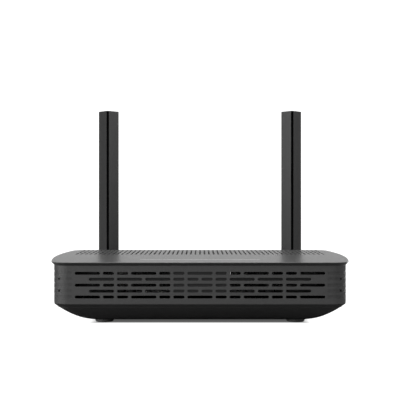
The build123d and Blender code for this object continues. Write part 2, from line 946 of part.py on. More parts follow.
def jack_mouths(xs, width):
    """Mouths of modular jacks: a main cavity with a stepped latch notch."""
    floor = board_top + port_floor
    notch_z = floor + port_height
    with BuildSketch(Plane.XZ.offset(-panel_face_y)) as mouth:
        for x in xs:
            with Locations((x, floor + port_height / 2)):
                Rectangle(width, port_height)
            with Locations((x, notch_z + latch_height / 2)):
                Rectangle(latch_width, latch_height)
            with Locations((x, notch_z + latch_height + latch_tip_height / 2)):
                Rectangle(latch_tip_width, latch_tip_height)
    return mouth.sketch


def contacts(xs, count):
    """Spring contacts along the floor of each jack."""
    with BuildPart() as piece:
        contact_y = panel_face_y - (contact_setback + port_depth) / 2
        points = [
            (x + (i - (count - 1) / 2) * contact_pitch, contact_y)
            for x in xs
            for i in range(count)
        ]
        with BuildSketch(Plane.XY.offset(board_top + port_floor)):
            with Locations(points):
                Rectangle(contact_width, port_depth - contact_setback)
        extrude(amount=contact_rise)
    return piece


# ---- network and phone jacks -------------------------------------------
ethernet_block = socket(
    ethernet_x,
    ethernet_z,
    ethernet_width,
    ethernet_height,
    ethernet_depth,
    jack_mouths(port_xs, port_width),
    port_depth,
)
phone_jack = socket(
    phone_x,
    phone_z,
    phone_width,
    phone_height,
    ethernet_depth,
    jack_mouths([phone_x], phone_port_width),
    port_depth,
)
save(ethernet_block, "ethernet_block")
save(phone_jack, "phone_jack")
save(contacts(port_xs, contact_count), "ethernet_contacts")
save(contacts([phone_x], phone_contact_count), "phone_contacts")

# ---- USB socket --------------------------------------------------------
usb_shell = socket(
    usb_x,
    usb_z,
    usb_width,
    usb_height,
    usb_depth,
    plain_mouth(usb_x, usb_z, usb_width - 2 * usb_wall, usb_height - 2 * usb_wall),
    usb_depth - usb_wall,
)
save(usb_shell, "usb_shell")

with BuildPart() as usb_tongue:
    tongue_z = usb_z + usb_height / 2 - usb_wall - usb_tongue_thickness / 2 - usb_tongue_gap
    with BuildSketch(Plane.XZ.offset(-(panel_face_y - usb_tongue_setback))):
        with Locations((usb_x, tongue_z)):
            Rectangle(usb_tongue_width, usb_tongue_thickness)
    extrude(amount=usb_depth - usb_tongue_setback - usb_wall)
save(usb_tongue, "usb_tongue")

# ---- fibre adapter -----------------------------------------------------
fibre_adapter = socket(
    fibre_x,
    fibre_z,
    fibre_width,
    fibre_height,
    fibre_depth,
    plain_mouth(fibre_x, fibre_z, fibre_port_width, fibre_port_height),
    fibre_port_depth,
)
save(fibre_adapter, "fibre_adapter")

with BuildPart() as ferrule_sleeve:
    with BuildSketch(Plane.XZ.offset(-(panel_face_y - ferrule_setback))):
        with Locations((fibre_x, fibre_z)):
            Circle(ferrule_radius)
            Circle(ferrule_bore_radius, mode=Mode.SUBTRACT)
    extrude(amount=fibre_port_depth - ferrule_setback)
save(ferrule_sleeve, "ferrule_sleeve")

with BuildPart() as optical_module:
    module_y = panel_face_y - fibre_depth
    with BuildSketch(Plane.XZ.offset(-module_y)):
        with Locations((fibre_x, fibre_z)):
            Circle(module_neck_radius)
    extrude(amount=module_neck_length)
    with BuildSketch(Plane.XY.offset(board_top)):
        with Locations((fibre_x, module_y - module_setback)):
            RectangleRounded(module_width, module_length, module_corner)
    extrude(amount=fibre_height / 2 + module_rise)
save(optical_module, "optical_module")

# ---- power inlet -------------------------------------------------------
jack_face_y = flange_y - panel_flange_thickness - fit_gap
with BuildPart() as power_jack:
    with BuildSketch(Plane.XZ.offset(-jack_face_y)):
        with Locations((jack_x, board_top + jack_height / 2)):
            Rectangle(jack_width, jack_height)
    extrude(amount=jack_depth)
    with BuildSketch(Plane.XZ.offset(-jack_face_y)):
        with Locations((jack_x, jack_z)):
            Circle(jack_bore_radius)
    extrude(amount=jack_bore_depth, mode=Mode.SUBTRACT)
save(power_jack, "power_jack")

with BuildPart() as power_pin:
    pin_tip_y = panel_face_y - jack_pin_setback
    with BuildSketch(Plane.XZ.offset(-pin_tip_y)):
        with Locations((jack_x, jack_z)):
            Circle(jack_pin_radius)
    extrude(amount=pin_tip_y - jack_face_y + jack_bore_depth)
    fillet(power_pin.edges().group_by(Axis.Y)[-1], jack_pin_radius / 2)
save(power_pin, "power_pin")

# ---- power switch and its button ---------------------------------------
switch_face_y = panel_face_y - switch_setback
button_back_y = panel_face_y - power_button_inside
with BuildPart() as power_switch:
    with BuildSketch(Plane.XZ.offset(-switch_face_y)):
        with Locations((switch_x, switch_z)):
            Rectangle(switch_width, switch_height)
    extrude(amount=switch_depth)
    with BuildSketch(Plane.XZ.offset(-switch_face_y)):
        with Locations((switch_x, switch_z)):
            Rectangle(power_stem_size + 2 * button_gap, power_stem_size + 2 * button_gap)
    extrude(amount=power_stem_socket, mode=Mode.SUBTRACT)
save(power_switch, "power_switch")

with BuildPart() as power_button:
    with BuildSketch(Plane.XZ.offset(-(panel_face_y + power_button_proud))):
        with Locations((switch_x, switch_z)):
            RectangleRounded(power_button_size, power_button_size, power_button_corner)
    extrude(amount=power_button_proud + power_button_inside)
    fillet(power_button.faces().sort_by(Axis.Y)[-1].edges(), power_button_edge)
    with BuildSketch(Plane.XZ.offset(-button_back_y)):
        with Locations((switch_x, switch_z)):
            Rectangle(power_stem_size, power_stem_size)
    stem_end = switch_face_y - power_stem_socket + power_button_travel + power_stem_margin
    extrude(amount=button_back_y - stem_end)
save(power_button, "power_button")

# ---- reset switch behind its pinhole -----------------------------------
with BuildPart() as reset_switch:
    with BuildSketch(Plane.XY.offset(board_top)):
        with Locations((reset_x, reset_y + reset_switch_depth / 2)):
            Rectangle(reset_switch_width, reset_switch_depth)
    extrude(amount=reset_switch_height)
    with BuildSketch(Plane.XZ.offset(-(reset_y + reset_switch_depth))):
        with Locations((reset_x, button_height)):
            Circle(reset_plunger_radius + button_gap)
    extrude(amount=reset_switch_depth / 2, mode=Mode.SUBTRACT)
save(reset_switch, "reset_switch")

with BuildPart() as reset_plunger:
    plunger_tip_y = reset_y + reset_switch_depth + reset_plunger_proud
    with BuildSketch(Plane.XZ.offset(-plunger_tip_y)):
        with Locations((reset_x, button_height)):
            Circle(reset_plunger_radius)
    extrude(amount=reset_plunger_proud + reset_switch_depth / 2 - 2 * reset_travel)
save(reset_plunger, "reset_plunger")

# ---- side buttons and their switches -----------------------------------
side_face_x = half_width - lip_overhang
flange_x = side_face_x - wall - side_flange_gap
side_stem_end = side_switch_x - side_switch_depth / 2 + side_button_travel + side_stem_margin
with BuildPart() as side_switches:
    for y in side_button_y.values():
        with BuildSketch(Plane.XY.offset(board_top)):
            with Locations((side_switch_x - side_switch_depth / 2, y)):
                Rectangle(side_switch_depth, reset_switch_width)
        extrude(amount=reset_switch_height)
        with BuildSketch(Plane.YZ.offset(side_switch_x)):
            with Locations((y, button_height)):
                Circle(side_stem_radius + button_gap)
        extrude(amount=-side_switch_depth / 2, mode=Mode.SUBTRACT)
save(side_switches, "side_switches")

for name, y in side_button_y.items():
    with BuildPart() as side_button:
        with BuildSketch(Plane.YZ.offset(side_face_x + side_button_proud)):
            with Locations((y, button_height)):
                RectangleRounded(side_button_length, side_button_height, side_button_height / 3)
        extrude(amount=flange_x - side_face_x - side_button_proud)
        fillet(side_button.faces().sort_by(Axis.X)[-1].edges(), side_button_edge)
        with BuildSketch(Plane.YZ.offset(flange_x)):
            with Locations((y, button_height)):
                Rectangle(side_button_length + 2 * side_flange, side_button_height + 2 * side_flange)
        extrude(amount=-side_flange)
        with BuildSketch(Plane.YZ.offset(flange_x - side_flange)):
            with Locations((y, button_height)):
                Circle(side_stem_radius)
        extrude(amount=side_stem_end - flange_x + side_flange)
    save(side_button, name)

# ---- antenna leads inside the casing -----------------------------------
lead_start_y = middle_y + lead_start_offset
shaft_end_y = wall_rear_y - wall - shaft_inside
with BuildPart() as antenna_leads:
    for side in (-1, 1):
        with BuildLine() as route:
            FilletPolyline(
                (side * lead_start_x, lead_start_y, board_top + coax_connector_height + lead_radius),
                (
                    side * (lead_start_x + lead_side_step),
                    lead_start_y + lead_back_step,
                    board_top + lead_rise,
                ),
                (side * antenna_x, lead_start_y + lead_high_step, pivot_height + lead_rise),
                (side * antenna_x, shaft_end_y - lead_straight, pivot_height + lead_rise / 2),
                (side * antenna_x, shaft_end_y - 2 * lead_rise, pivot_height),
                (side * antenna_x, shaft_end_y + lead_rise, pivot_height),
                radius=lead_bend_radius,
            )
        with BuildSketch(Plane(route.line @ 0, z_dir=route.line % 0)):
            Circle(lead_radius)
        sweep(path=route.line)
save(antenna_leads, "antenna_leads")

with BuildPart() as coax_connectors:
    with BuildSketch(Plane.XY.offset(board_top)):
        with Locations([(side * lead_start_x, lead_start_y) for side in (-1, 1)]):
            Circle(coax_connector_radius)
    extrude(amount=coax_connector_height)
save(coax_connectors, "coax_connectors")

# ---- antennas ----------------------------------------------------------
shell_z = pivot_height + foot_rise
for side, hand in ((-1, "left"), (1, "right")):
    x = side * antenna_x
    with BuildPart() as knuckle:
        with BuildSketch(Plane.XZ.offset(-(wall_rear_y + hinge_gap))):
            with Locations((x, pivot_height)):
                Circle(shaft_radius)
        extrude(amount=wall_rear_y + hinge_gap - shaft_end_y)
        with BuildSketch(Plane.XZ.offset(-(wall_rear_y + hinge_gap + flange_thickness))):
            with Locations((x, pivot_height)):
                Circle(flange_radius)
        extrude(amount=flange_thickness)
        fillet(knuckle.faces().sort_by(Axis.Y)[-1].edges(), flange_edge_radius)
        with BuildSketch(Plane.YZ.offset(x)):
            with Locations((fold_y, pivot_height)):
                Circle(tongue_radius)
            neck_start = wall_rear_y + hinge_gap + flange_thickness / 2
            with Locations(((fold_y + neck_start) / 2, pivot_height)):
                Rectangle(fold_y - neck_start, 2 * tongue_radius)
        extrude(amount=tongue_thickness / 2, both=True)
        with BuildSketch(Plane.YZ.offset(x)):
            with Locations((fold_y, pivot_height)):
                Circle(hinge_pin_radius)
        extrude(amount=tongue_thickness, both=True, mode=Mode.SUBTRACT)
        with BuildSketch(Plane.XZ.offset(-shaft_end_y)):
            with Locations((x, pivot_height)):
                Circle(lead_radius + lead_bore_gap)
        extrude(amount=-(wall_rear_y - shaft_end_y), mode=Mode.SUBTRACT)
        groove_y = wall_rear_y - wall - hinge_gap
        with BuildSketch(Plane.XZ.offset(-groove_y)):
            with Locations((x, pivot_height)):
                Circle(shaft_radius + clip_thickness)
                Circle(clip_groove_radius, mode=Mode.SUBTRACT)
        extrude(amount=clip_thickness + 2 * screw_fit, mode=Mode.SUBTRACT)
    save(knuckle, f"antenna_knuckle_{hand}")

    with BuildPart() as clip:
        with BuildSketch(Plane.XZ.offset(-(groove_y - screw_fit))):
            with Locations((x, pivot_height)):
                Circle(clip_radius)
                Circle(clip_groove_radius + screw_fit, mode=Mode.SUBTRACT)
            with Locations((x, pivot_height - clip_radius)):
                Rectangle(clip_groove_radius, 2 * clip_radius, mode=Mode.SUBTRACT)
        extrude(amount=clip_thickness)
    save(clip, f"swivel_clip_{hand}")

    with BuildPart() as hinge_pin:
        pin_half = antenna_half_diagonal - hinge_pin_cover
        with BuildSketch(Plane.YZ.offset(x)):
            with Locations((fold_y, pivot_height)):
                Circle(hinge_pin_radius)
        extrude(amount=pin_half, both=True)
    save(hinge_pin, f"hinge_pin_{hand}")

    with BuildPart() as foot:
        with BuildSketch(Plane.XY.offset(shell_z)):
            with Locations((x, fold_y)):
                add(diamond(antenna_side, antenna_corner_radius))
        extrude(amount=-(foot_rise + fold_end_radius))
        with BuildSketch(Plane.YZ.offset(x)):
            with Locations((fold_y, pivot_height)):
                Circle(fold_end_radius)
            with Locations((fold_y, pivot_height + foot_rise)):
                Rectangle(2 * fold_end_radius, 2 * foot_rise)
            with Locations((fold_y, pivot_height + 1.5 * foot_rise)):
                Rectangle(4 * fold_end_radius, 2 * foot_rise)
        extrude(amount=antenna_side, both=True, mode=Mode.INTERSECT)
        with BuildSketch(Plane.XZ.offset(-fold_y)):
            with Locations((x, pivot_height)):
                Rectangle(tongue_thickness + 2 * hinge_gap, 2 * (tongue_radius + tongue_clearance))
        extrude(amount=antenna_side, both=True, mode=Mode.SUBTRACT)
        with BuildSketch(Plane.YZ.offset(x)):
            with Locations((fold_y, pivot_height)):
                Circle(hinge_pin_radius + hinge_pin_fit)
        extrude(amount=pin_half + hinge_gap, both=True, mode=Mode.SUBTRACT)
        plug_side = antenna_side - 2 * antenna_wall - 2 * screw_fit
        with BuildSketch(Plane.XY.offset(shell_z)):
            with Locations((x, fold_y)):
                add(diamond(plug_side, antenna_corner_radius))
        extrude(amount=plug_rise)
    save(foot, f"antenna_foot_{hand}")

    strip_front_y = fold_y - antenna_half_diagonal + strip_width / 2
    with BuildPart() as shell:
        with BuildSketch(Plane.XY.offset(shell_z)):
            with Locations((x, fold_y)):
                add(diamond(antenna_side, antenna_corner_radius))
        extrude(amount=antenna_top - shell_z)
        chamfer(shell.edges().group_by(Axis.Z)[-1], antenna_top_chamfer)
        with BuildSketch(Plane.XY.offset(shell_z)):
            with Locations((x, fold_y)):
                add(diamond(antenna_side - 2 * antenna_wall, antenna_corner_radius))
        extrude(amount=antenna_top - shell_z - antenna_wall, mode=Mode.SUBTRACT)
        with BuildSketch(Plane.XY.offset(shell_z)):
            with Locations((x, strip_front_y + strip_thickness / 2 - strip_clear)):
                Rectangle(strip_width, strip_thickness + 2 * strip_clear)
        extrude(amount=antenna_top - shell_z, mode=Mode.SUBTRACT)
    save(shell, f"antenna_shell_{hand}")

    with BuildPart() as strip:
        with BuildSketch(Plane.XY.offset(shell_z)):
            with Locations((x, strip_front_y + strip_thickness / 2)):
                Rectangle(strip_width, strip_thickness)
        extrude(amount=antenna_top - shell_z)
    save(strip, f"antenna_strip_{hand}")

    with BuildPart() as element:
        with BuildSketch(Plane.XY.offset(shell_z + plug_rise)):
            with Locations((x, fold_y)):
                Rectangle(element_width, element_thickness)
        extrude(amount=element_length)
    save(element, f"antenna_element_{hand}")
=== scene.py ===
from math import radians

import bpy
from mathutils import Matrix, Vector


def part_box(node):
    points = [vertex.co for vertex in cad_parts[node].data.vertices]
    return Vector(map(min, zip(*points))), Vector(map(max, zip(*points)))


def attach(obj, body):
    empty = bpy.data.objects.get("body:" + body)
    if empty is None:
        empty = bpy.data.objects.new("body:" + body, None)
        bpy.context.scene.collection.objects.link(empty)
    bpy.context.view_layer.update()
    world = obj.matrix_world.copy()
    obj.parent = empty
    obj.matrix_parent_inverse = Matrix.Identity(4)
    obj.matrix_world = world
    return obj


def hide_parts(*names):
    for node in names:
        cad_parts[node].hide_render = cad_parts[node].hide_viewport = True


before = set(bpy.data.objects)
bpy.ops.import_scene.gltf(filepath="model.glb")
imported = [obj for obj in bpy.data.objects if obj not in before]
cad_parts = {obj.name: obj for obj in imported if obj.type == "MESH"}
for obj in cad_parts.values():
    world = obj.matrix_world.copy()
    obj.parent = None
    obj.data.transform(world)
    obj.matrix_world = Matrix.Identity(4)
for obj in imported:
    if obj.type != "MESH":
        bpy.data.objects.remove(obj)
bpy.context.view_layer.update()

# ---- places taken from the CAD frame (metres) --------------------------
cover_low, cover_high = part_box("top_cover")
casing_front = cover_low[1]
casing_top = cover_high[2]
wall_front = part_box("vented_wall")[0][1]

# ---- camera ------------------------------------------------------------
view_distance = 0.5755
view_rise = 0.0430
view_lens = 75.24
sensor_width = 36.0


def make_camera():
    """A level camera straight in front, a little above the cover."""
    data = bpy.data.cameras.new("camera")
    data.lens = view_lens
    data.sensor_width = sensor_width
    camera = bpy.data.objects.new("camera", data)
    camera.location = (0.0, casing_front - view_distance, casing_top + view_rise)
    camera.rotation_euler = (radians(90), 0.0, 0.0)
    bpy.context.scene.collection.objects.link(camera)
    bpy.context.scene.camera = camera


# ---- node maths --------------------------------------------------------
class Maths:
    """A node's socket that plain arithmetic can be written with."""

    def __init__(self, tree, socket):
        self.tree = tree
        self.socket = socket

    def _math(self, operation, first, second=None):
        node = self.tree.nodes.new("ShaderNodeMath")
        node.operation = operation
        for slot, value in enumerate((first, second)):
            if isinstance(value, Maths):
                self.tree.links.new(value.socket, node.inputs[slot])
            elif value is not None:
                node.inputs[slot].default_value = value
        return Maths(self.tree, node.outputs[0])

    def __sub__(self, other):
        return self._math("SUBTRACT", self, other)

    def __rsub__(self, other):
        return self._math("SUBTRACT", other, self)

    def __mul__(self, other):
        return self._math("MULTIPLY", self, other)

    __rmul__ = __mul__

    def size(self):
        """The number without its sign."""
        return self._math("ABSOLUTE", self)

    def larger(self, other):
        """The larger of the two numbers."""
        return self._math("MAXIMUM", self, other)


class Network:
    """A node tree under construction, with one method for every node."""

    def __init__(self, tree):
        self.tree = tree

    def node(self, kind, settings=None, out=0, slots=None, **inputs):
        """Adds a node: its settings first, then its sockets by number or by name."""
        node = self.tree.nodes.new(kind)
        for key, value in (settings or {}).items():
            setattr(node, key, value)
        for number, value in (slots or {}).items():
            self.put(node.inputs[number], value)
        for key, value in inputs.items():
            self.put(node.inputs[key.replace("_", " ")], value)
        return Maths(self.tree, node.outputs[out]) if node.outputs else None

    def put(self, socket, value):
        """Links a value from another node to the socket, or sets it."""
        if isinstance(value, Maths):
            self.tree.links.new(value.socket, socket)
        else:
            socket.default_value = value

    def spread(self, value, low, high, to_low, to_high):
        """Maps low..high to to_low..to_high, clamped."""
        return self.node(
            "ShaderNodeMapRange",
            out="Result",
            Value=value,
            From_Min=low,
            From_Max=high,
            To_Min=to_low,
            To_Max=to_high,
        )


# ---- what the finishes share -------------------------------------------
noise_low = 0.3
noise_high = 0.7
edge_width = 0.0004
edge_samples = 4
grain_depth = 0.00003
fine_depth = 0.00002
cloud_scale = 18.0
cloud_share = 0.07
speckle_lift = 1.35
rubbed_scale = 240.0
rubbed_share = 0.35
rubbed_lift = 1.9
tone_share = 0.15
dull_share = 0.82
bloom_lift = 2.2


class Finish(Network):
    """A material under construction."""

    def __init__(self, name):
        self.material = bpy.data.materials.new(name)
        self.material.use_nodes = True
        super().__init__(self.material.node_tree)
        self.tree.nodes.clear()
        self.output = self.tree.nodes.new("ShaderNodeOutputMaterial")
        self.shader = self.node("ShaderNodeBsdfPrincipled")
        self.show(self.shader)
        self.place = self.node("ShaderNodeTexCoord", out="Object")

    def show(self, shader):
        """Puts a shader on the surface."""
        self.put(self.output.inputs["Surface"], shader)

    def set(self, **inputs):
        """Sets or links the shader's own sockets."""
        for key, value in inputs.items():
            self.put(self.shader.socket.node.inputs[key.replace("_", " ")], value)

    def axes(self):
        """The place across, along and up."""
        split = self.node("ShaderNodeSeparateXYZ", Vector=self.place).socket.node
        return [Maths(self.tree, output) for output in split.outputs]

    def noise(self, scale, detail=2.0, roughness=0.5, place=None):
        return self.node(
            "ShaderNodeTexNoise",
            out="Fac",
            Vector=place or self.place,
            Scale=scale,
            Detail=detail,
            Roughness=roughness,
        )

    def vary(self, noise, low, high):
        """Maps the usual run of a noise to low..high."""
        return self.spread(noise, noise_low, noise_high, low, high)

    def tint(self, share, first, second):
        """Mixes two colours by share."""
        slots = {0: share, 6: first, 7: second}
        return self.node("ShaderNodeMix", {"data_type": "RGBA"}, out=2, slots=slots)

    def bump(self, height, strength, distance):
        return self.node(
            "ShaderNodeBump", out="Normal", Height=height, Strength=strength, Distance=distance
        )

    def edges(self):
        """1 along sharp edges and 0 on the flats, from a rounded normal."""
        rounded = self.node(
            "ShaderNodeBevel", {"samples": edge_samples}, out="Normal", Radius=edge_width
        )
        plain = self.node("ShaderNodeNewGeometry", out="Normal")
        dot = {"operation": "DOT_PRODUCT"}
        likeness = self.node(
            "ShaderNodeVectorMath", dot, out="Value", slots={0: rounded, 1: plain}
        )
        return self.spread(likeness, 0.995, 0.9, 0.0, 1.0)

    def beyond(self, low, high, inset_x=0.0, inset_y=0.0):
        """How far a point lies outside a box seen from above, drawn in by the insets."""
        across, along, _ = self.axes()
        half_x = (high[0] - low[0]) / 2 - inset_x
        half_y = (high[1] - low[1]) / 2 - inset_y
        out_x = across.size() - half_x
        out_y = (along - (high[1] + low[1]) / 2).size() - half_y
        return out_x.larger(out_y)


def shade(colour, share):
    """The colour times a share, with nothing over white."""
    return tuple(min(1.0, channel * share) for channel in colour) + (1.0,)


def grey(level):
    return (level, level, level, 1.0)


# ---- where a finish is painted with shade ------------------------------
slot_shade_start = 0.0002
slot_shade_depth = 0.001
painted_shade_level = 0.05
front_flat = 0.0885
flat_blend = 0.001
rim_drop = 0.00045
rim_inset = 0.0147
rim_front_inset = 0.004
rim_blend = 0.0005
rim_painted_shade_share = 0.95
guide_shade_start = 0.0018
guide_shade_full = 0.0024


def painted_slot_shade(finish):
    """Painted shade in the slots: 0 on the casing's front face, and 1 deeper in its slots."""
    across, along, _ = finish.axes()
    deep = finish.spread(along - wall_front, slot_shade_start, slot_shade_depth, 0.0, 1.0)
    inside = finish.spread(across.size(), front_flat - flat_blend, front_flat, 1.0, 0.0)
    return deep * inside


def painted_rim_shade(finish):
    """Painted shade on the cover's rim: nearly 1 below its top edge."""
    out = finish.beyond(cover_low, cover_high, rim_inset, rim_front_inset)
    outside = finish.spread(out, 0.0, rim_blend, 0.0, 1.0)
    drop = casing_top - finish.axes()[2]
    return outside * finish.spread(drop, rim_drop * 0.6, rim_drop, 0.0, rim_painted_shade_share)


# ---- finishes ----------------------------------------------------------
def textured_plastic(name, level, roughness, grain=2600.0, painted_shade_mask=None):
    """Spark-textured moulded plastic with rubbed edges, and painted shade where a shade mask is
    given.
    """
    finish = Finish(name)
    texture = finish.noise(grain, detail=3.0, roughness=0.6)
    cloud = finish.noise(cloud_scale, detail=3.0)
    rub = finish.noise(rubbed_scale, detail=4.0)
    wear = finish.edges() * finish.spread(rub, 0.4, 0.65, 0.2, 1.0)
    base = finish.tint(cloud, grey(level * (1 - cloud_share)), grey(level * (1 + cloud_share)))
    speckle = finish.spread(texture, 0.35, 0.7, 0.0, 0.5)
    speckled = finish.tint(speckle, base, grey(level * speckle_lift))
    colour = finish.tint(wear * rubbed_share, speckled, grey(level * rubbed_lift))
    # Painted shade: where the given mask is 1, the colour darkens to a small share of the level.
    if painted_shade_mask:
        colour = finish.tint(painted_shade_mask(finish), colour, grey(level * painted_shade_level))
    finish.set(
        Base_Color=colour,
        Roughness=finish.vary(texture, roughness - 0.05, roughness + 0.06) - wear * 0.1,
        Normal=finish.bump(texture, strength=0.35, distance=grain_depth),
    )
    return finish.material


def gloss_plastic(name, colour, roughness, shine=0.5):
    """Polished plastic with faint haze and fine wipe marks."""
    finish = Finish(name)
    haze = finish.noise(60.0, detail=4.0)
    marks = finish.noise(900.0)
    finish.set(
        Base_Color=finish.tint(haze, shade(colour, 1 - tone_share), shade(colour, 1 + tone_share)),
        Roughness=finish.vary(haze, roughness, roughness + 0.08),
        Specular_IOR_Level=shine,
        Normal=finish.bump(marks, strength=0.05, distance=fine_depth),
    )
    return finish.material


def frosted_window():
    """Frosted light guide, pale in the cover's slot, with painted shade that turns it near black
    under the cover.
    """
    finish = Finish("window_plastic")
    haze = finish.noise(60.0, detail=4.0)
    drop = casing_top - finish.axes()[2]
    pale = finish.tint(haze, grey(0.66), grey(0.82))
    under_cover_shade = finish.spread(drop, guide_shade_start, guide_shade_full, 0.0, 1.0)
    finish.set(
        # Painted shade: below the cover the guide darkens to near black.
        Base_Color=finish.tint(under_cover_shade, pale, grey(0.01)),
        Roughness=finish.vary(haze, 0.35, 0.43),
    )
    return finish.material


def moulded_plastic(name, colour, roughness):
    """Plain moulded plastic in a colour, with soft flow clouds and fine grain."""
    finish = Finish(name)
    cloud = finish.noise(45.0, detail=4.0)
    grain = finish.noise(1800.0)
    finish.set(
        Base_Color=finish.tint(cloud, shade(colour, 1 - tone_share), shade(colour, 1 + tone_share)),
        Roughness=finish.vary(grain, roughness - 0.06, roughness + 0.06),
        Normal=finish.bump(grain, strength=0.2, distance=fine_depth),
    )
    return finish.material


def metal(name, colour, roughness, stretch=(1.0, 1.0, 1.0)):
    """Plated or drawn metal with fine scratches and duller patches."""
    finish = Finish(name)
    stretched = finish.node(
        "ShaderNodeMapping", out="Vector", Vector=finish.place, Scale=stretch
    )
    scratches = finish.noise(700.0, detail=3.0, place=stretched)
    patches = finish.noise(90.0, detail=3.0)
    finish.set(
        Base_Color=finish.tint(patches, shade(colour, dull_share), shade(colour, 1.0)),
        Metallic=1.0,
        Roughness=finish.vary(scratches, roughness - 0.07, roughness + 0.1),
        Normal=finish.bump(scratches, strength=0.1, distance=fine_depth),
    )
    return finish.material


def rubber(name, level):
    """Soft matte rubber with a dusty bloom."""
    finish = Finish(name)
    bloom = finish.noise(150.0, detail=4.0)
    dust = finish.spread(bloom, 0.4, 0.75, 0.0, 0.6)
    grain = finish.noise(2200.0)
    finish.set(
        Base_Color=finish.tint(dust, grey(level), grey(level * bloom_lift)),
        Roughness=finish.vary(grain, 0.75, 0.9),
        Normal=finish.bump(grain, strength=0.3, distance=grain_depth),
    )
    return finish.material


def board_laminate():
    """Black solder mask with faint track lines under it."""
    finish = Finish("board_laminate")
    tracks = finish.node(
        "ShaderNodeTexBrick",
        out="Fac",
        Vector=finish.place,
        Scale=90.0,
        Mortar_Size=0.06,
        Brick_Width=2.4,
        Row_Height=0.22,
    )
    grain = finish.noise(500.0)
    finish.set(
        Base_Color=finish.tint(tracks, grey(0.012), grey(0.03)),
        Roughness=finish.vary(grain, 0.28, 0.42),
        Normal=finish.bump(tracks, strength=0.2, distance=grain_depth),
    )
    return finish.material


def label_paper():
    """Blank matt label with paper fibre."""
    finish = Finish("label_paper")
    fibre = finish.noise(1200.0, detail=5.0)
    finish.set(
        Base_Color=finish.tint(fibre, (0.55, 0.55, 0.53, 1.0), (0.7, 0.7, 0.68, 1.0)),
        Roughness=finish.vary(fibre, 0.5, 0.65),
        Normal=finish.bump(fibre, strength=0.15, distance=fine_depth),
    )
    return finish.material


def make_finishes():
    """Makes every finish, each under a short name; colours are linear red, green and blue."""
    drawn_across = (1.0, 12.0, 1.0)
    brushed_along = (1.0, 0.06, 1.0)
    return {
        # The cover's rim and the wall's front slots carry painted shade.
        "cover": textured_plastic("cover_plastic", level=0.092, roughness=0.34, painted_shade_mask=painted_rim_shade),
        "wall": textured_plastic("wall_plastic", level=0.0465, roughness=0.42, painted_shade_mask=painted_slot_shade),
        "base": textured_plastic("base_plastic", level=0.006, roughness=0.66, grain=1800.0),
        "antenna": textured_plastic("antenna_plastic", level=0.029, roughness=0.33),
        "button": textured_plastic("button_plastic", level=0.055, roughness=0.42, grain=3400.0),
        "strip": gloss_plastic("strip_gloss", (0.0015, 0.0015, 0.0016), 0.05, shine=0.05),
        "window": frosted_window(),
        "led": gloss_plastic("led_plastic", (0.75, 0.76, 0.7), 0.15),
        "chip": moulded_plastic("chip_plastic", (0.02, 0.02, 0.021), 0.55),
        "socket": moulded_plastic("socket_plastic", (0.013, 0.013, 0.014), 0.45),
        "tongue": moulded_plastic("tongue_plastic", (0.62, 0.62, 0.62), 0.4),
        "fibre": moulded_plastic("fibre_plastic", (0.02, 0.24, 0.06), 0.35),
        "nylon": moulded_plastic("pin_nylon", (0.04, 0.04, 0.04), 0.4),
        "ferrite": moulded_plastic("ferrite", (0.075, 0.078, 0.08), 0.6),
        "jacket": moulded_plastic("lead_jacket", (0.045, 0.045, 0.047), 0.4),
        "sleeve": moulded_plastic("capacitor_sleeve", (0.012, 0.013, 0.02), 0.45),
        "zirconia": moulded_plastic("zirconia", (0.8, 0.8, 0.77), 0.2),
        "steel": metal("zinc_steel", (0.45, 0.45, 0.44), 0.34),
        "tin": metal("tin_steel", (0.5, 0.5, 0.485), 0.38, drawn_across),
        "cans": metal("dull_tin", (0.2, 0.2, 0.195), 0.5),
        "anodised": metal("black_anodised", (0.03, 0.03, 0.031), 0.5, brushed_along),
        "gold": metal("gold_brass", (0.86, 0.62, 0.25), 0.22),
        "rubber": rubber("foot_rubber", 0.18),
        "pad": rubber("thermal_pad", 0.25),
        "laminate": board_laminate(),
        "label": label_paper(),
    }


def both(*pieces):
    """The left and the right node of each piece."""
    return [f"{piece}_{hand}" for piece in pieces for hand in ("left", "right")]


wearers = {
    "cover": ["top_cover"],
    "wall": ["vented_wall", "connector_panel"],
    "base": ["base_tray"],
    "antenna": both("antenna_knuckle", "antenna_foot", "antenna_shell"),
    "button": ["power_button", "wlan_button", "wps_button", "reset_plunger"],
    "strip": both("antenna_strip"),
    "window": ["indicator_window"],
    "led": ["indicator_leds"],
    "chip": ["processor", "memory_chips", "flash_chip", "line_transformers"],
    "socket": ["ethernet_block", "phone_jack", "power_jack"]
    + ["power_switch", "reset_switch", "side_switches"],
    "tongue": ["usb_tongue"],
    "fibre": ["fibre_adapter"],
    "nylon": ["heat_sink_pins"],
    "ferrite": ["power_inductors"],
    "jacket": ["antenna_leads"],
    "sleeve": ["capacitors"],
    "zirconia": ["ferrule_sleeve"],
    "steel": ["case_screws", "board_screws"] + both("swivel_clip", "hinge_pin"),
    "tin": ["crystals", "usb_shell", "optical_module"],
    "cans": ["shield_cans"],
    "anodised": ["heat_sink"],
    "gold": ["ethernet_contacts", "phone_contacts", "power_pin", "coax_connectors"],
    "rubber": ["rubber_feet"],
    "pad": ["thermal_pad"],
    "laminate": ["main_board"] + both("antenna_element"),
    "label": ["rating_label"],
}


def dress():
    """Gives every CAD node its finish."""
    finishes = make_finishes()
    for finish, nodes in wearers.items():
        for node in nodes:
            for material_slot in bpy.data.objects[node].material_slots:
                material_slot.material = finishes[finish]


# ---- spring contacts in the sockets ------------------------------------
port_pitch = 0.014
contact_pitch = 0.00102
contact_width = 0.0004
contact_thickness = 0.00022
path_points = 16
jack_contacts = {"ethernet_contacts": (4, 8), "phone_contacts": (1, 4)}


